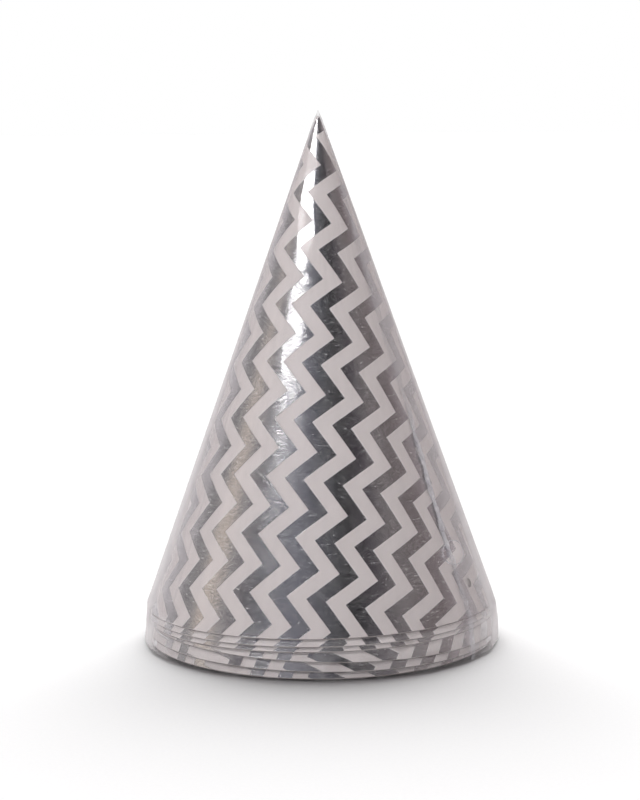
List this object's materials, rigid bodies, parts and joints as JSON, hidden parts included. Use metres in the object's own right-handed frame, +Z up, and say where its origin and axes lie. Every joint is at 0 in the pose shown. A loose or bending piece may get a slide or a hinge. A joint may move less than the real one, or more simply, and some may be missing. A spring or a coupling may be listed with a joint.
{
  "type": "nested pack of cone party hats",
  "caption": "Cone party hats of white card stamped with silver foil chevrons, nested rim under rim in a stack, under a clear film sleeve.",
  "frame": {"origin": "centre of the lowest hat's rim, on the surface that the pack stands on", "axes": "+Z up through the tips of the cones; -Y is the front, +X to the right of someone who looks at the front"},
  "size_m": [0.1172, 0.1172, 0.175],
  "materials": {
    "foil_card": "gloss",
    "glue": "satin",
    "clear_film": "gloss"
  },
  "bodies": {
    "hat_6": {"hat_6_cone": "foil_card", "hat_6_glue_line": "glue"},
    "hat_5": {"hat_5_cone": "foil_card", "hat_5_glue_line": "glue"},
    "hat_4": {"hat_4_cone": "foil_card", "hat_4_glue_line": "glue"},
    "hat_3": {"hat_3_cone": "foil_card", "hat_3_glue_line": "glue"},
    "hat_2": {"hat_2_cone": "foil_card", "hat_2_glue_line": "glue"},
    "hat_1": {"hat_1_cone": "foil_card", "hat_1_glue_line": "glue"},
    "sleeve": {"film_sleeve": "clear_film"}
  },
  "joints": [
    {"name": "hat_5_lift", "type": "slide", "parent": "hat_6", "child": "hat_5", "axis": [0, 0, 1], "range_m": [0, 0.18]},
    {"name": "hat_4_lift", "type": "slide", "parent": "hat_5", "child": "hat_4", "axis": [0, 0, 1], "range_m": [0, 0.18]},
    {"name": "hat_3_lift", "type": "slide", "parent": "hat_4", "child": "hat_3", "axis": [0, 0, 1], "range_m": [0, 0.18]},
    {"name": "hat_2_lift", "type": "slide", "parent": "hat_3", "child": "hat_2", "axis": [0, 0, 1], "range_m": [0, 0.18]},
    {"name": "hat_1_lift", "type": "slide", "parent": "hat_2", "child": "hat_1", "axis": [0, 0, 1], "range_m": [0, 0.18]},
    {"name": "sleeve_lift", "type": "slide", "parent": "hat_1", "child": "sleeve", "axis": [0, 0, 1], "range_m": [0, 0.18]}
  ]
}
